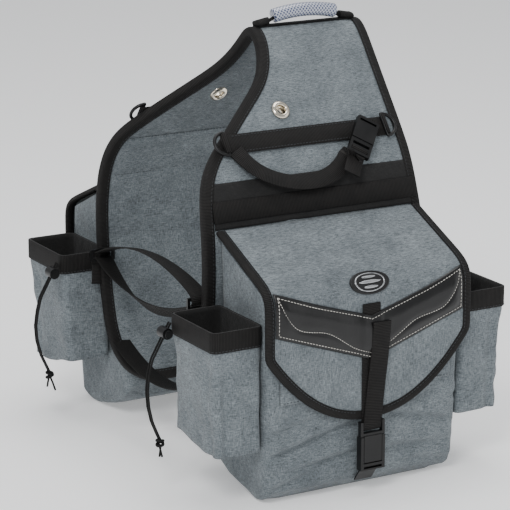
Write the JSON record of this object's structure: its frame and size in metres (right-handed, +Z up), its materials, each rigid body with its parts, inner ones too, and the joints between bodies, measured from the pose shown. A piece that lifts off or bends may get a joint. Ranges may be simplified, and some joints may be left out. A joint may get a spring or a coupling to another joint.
{
  "type": "saddle bag",
  "caption": "Padded yoke that lies over a horse's back, with a flap-top pouch on each side, side pockets, tie-down straps and a carry handle.",
  "frame": {"origin": "centre of the bounding box at the ground, under the ridge of the yoke", "axes": "+Z up, X along the horse (-X is the front, cut away for the cantle), Y across the horse, near half at -Y"},
  "size_m": [0.4594, 0.5616, 0.5661],
  "materials": {
    "bag_fabric": "heather weave, matt",
    "black_fabric": "plain weave, matt",
    "binding": "ribbed tape, matt",
    "webbing": "ribbed webbing, matt",
    "leatherette": "smooth grain, semi-gloss",
    "badge": "moulded, satin",
    "buckle_plastic": "moulded, satin",
    "eyelet_metal": "nickel plated, polished",
    "handle_grip": "clear tube over a navy and white diamond mesh",
    "cord": "braided, matt"
  },
  "bodies": {
    "near_half": {"yoke_ridge": "bag_fabric", "handle_anchor": "webbing", "girth_strap_upper": "webbing", "girth_strap_lower": "webbing", "girth_ring_near": "buckle_plastic", "near_panel": "bag_fabric", "near_panel_binding": "binding", "near_eyelet": "eyelet_metal", "near_keeper_strap": "webbing", "near_cargo_strap": "webbing", "near_cargo_buckle_female": "buckle_plastic", "near_shoulder_band": "black_fabric", "near_pouch": "bag_fabric", "near_front_pocket": "bag_fabric", "near_flap_buckle_female": "buckle_plastic", "near_side_pocket_left": "bag_fabric", "near_side_pocket_right": "bag_fabric", "near_pocket_band_left": "webbing", "near_pocket_band_right": "webbing", "near_drawcord": "cord"},
    "far_half": {"girth_ring_far": "buckle_plastic", "far_panel": "bag_fabric", "far_panel_binding": "binding", "far_eyelet": "eyelet_metal", "far_keeper_strap": "webbing", "far_cargo_strap": "webbing", "far_cargo_buckle_female": "buckle_plastic", "far_shoulder_band": "black_fabric", "far_pouch": "bag_fabric", "far_front_pocket": "bag_fabric", "far_flap_buckle_female": "buckle_plastic", "far_side_pocket_left": "bag_fabric", "far_side_pocket_right": "bag_fabric", "far_pocket_band_left": "webbing", "far_pocket_band_right": "webbing", "far_drawcord": "cord"},
    "handle": {"handle_strap": "webbing", "handle_tube": "handle_grip"},
    "near_flap": {"near_flap": "bag_fabric", "near_flap_binding": "binding", "near_flap_chevron": "leatherette", "near_flap_badge": "badge", "near_flap_strap": "webbing"},
    "near_flap_clip": {"near_flap_buckle_male": "buckle_plastic"},
    "near_cargo_clip": {"near_cargo_buckle_male": "buckle_plastic"},
    "near_ring_left": {"near_d_ring_left": "buckle_plastic"},
    "near_ring_right": {"near_d_ring_right": "buckle_plastic"},
    "near_lock": {"near_cord_lock": "buckle_plastic"},
    "near_button": {"near_cord_button": "buckle_plastic"},
    "far_flap": {"far_flap": "bag_fabric", "far_flap_binding": "binding", "far_flap_chevron": "leatherette", "far_flap_badge": "badge", "far_flap_strap": "webbing"},
    "far_flap_clip": {"far_flap_buckle_male": "buckle_plastic"},
    "far_cargo_clip": {"far_cargo_buckle_male": "buckle_plastic"},
    "far_ring_left": {"far_d_ring_left": "buckle_plastic"},
    "far_ring_right": {"far_d_ring_right": "buckle_plastic"},
    "far_lock": {"far_cord_lock": "buckle_plastic"},
    "far_button": {"far_cord_button": "buckle_plastic"}
  },
  "joints": [
    {"name": "yoke_fold", "type": "hinge", "parent": "near_half", "child": "far_half", "pos_m": [0, 0, 0.535], "axis": [1, 0, 0], "range_deg": [-14, 8], "deforming": ["yoke_ridge", "girth_strap_upper", "girth_strap_lower"]},
    {"name": "handle_tilt", "type": "hinge", "parent": "near_half", "child": "handle", "pos_m": [0.067, 0, 0.545], "axis": [1, 0, 0], "range_deg": [-38, 38]},
    {"name": "near_flap_open", "type": "hinge", "parent": "near_half", "child": "near_flap", "pos_m": [0, -0.15, 0.3225], "axis": [-1, 0, 0], "range_deg": [0, 85]},
    {"name": "near_flap_clip_release", "type": "slide", "parent": "near_flap", "child": "near_flap_clip", "axis": [0, 0, 1], "range_m": [0, 0.024], "deforming": ["near_flap_strap"]},
    {"name": "near_cargo_clip_release", "type": "slide", "parent": "near_half", "child": "near_cargo_clip", "axis": [-0.5878, -0.4949, -0.64], "range_m": [0, 0.02], "deforming": ["near_cargo_strap"]},
    {"name": "near_d_ring_left_swing", "type": "hinge", "parent": "near_half", "child": "near_ring_left", "pos_m": [-0.11, -0.11153, 0.42151], "axis": [0, 0.6117, 0.7911], "range_deg": [0, 100]},
    {"name": "near_d_ring_right_swing", "type": "hinge", "parent": "near_half", "child": "near_ring_right", "pos_m": [0.12, -0.11153, 0.42151], "axis": [0, -0.6117, -0.7911], "range_deg": [0, 100]},
    {"name": "near_cord_lock_slide", "type": "slide", "parent": "near_half", "child": "near_lock", "axis": [-0.5, 0, -0.866], "range_m": [0, 0.02]},
    {"name": "near_cord_button_press", "type": "slide", "parent": "near_lock", "child": "near_button", "axis": [0, 1, 0], "range_m": [0, 0.003], "stiffness_N_per_m": 400},
    {"name": "far_flap_open", "type": "hinge", "parent": "far_half", "child": "far_flap", "pos_m": [0, 0.15, 0.3225], "axis": [1, 0, 0], "range_deg": [0, 85]},
    {"name": "far_flap_clip_release", "type": "slide", "parent": "far_flap", "child": "far_flap_clip", "axis": [0, 0, 1], "range_m": [0, 0.024], "deforming": ["far_flap_strap"]},
    {"name": "far_cargo_clip_release", "type": "slide", "parent": "far_half", "child": "far_cargo_clip", "axis": [-0.5878, 0.4949, -0.64], "range_m": [0, 0.02], "deforming": ["far_cargo_strap"]},
    {"name": "far_d_ring_left_swing", "type": "hinge", "parent": "far_half", "child": "far_ring_left", "pos_m": [-0.11, 0.11153, 0.42151], "axis": [0, 0.6117, -0.7911], "range_deg": [0, 100]},
    {"name": "far_d_ring_right_swing", "type": "hinge", "parent": "far_half", "child": "far_ring_right", "pos_m": [0.12, 0.11153, 0.42151], "axis": [0, -0.6117, 0.7911], "range_deg": [0, 100]},
    {"name": "far_cord_lock_slide", "type": "slide", "parent": "far_half", "child": "far_lock", "axis": [-0.5, 0, -0.866], "range_m": [0, 0.02]},
    {"name": "far_cord_button_press", "type": "slide", "parent": "far_lock", "child": "far_button", "axis": [0, -1, 0], "range_m": [0, 0.003], "stiffness_N_per_m": 400}
  ]
}
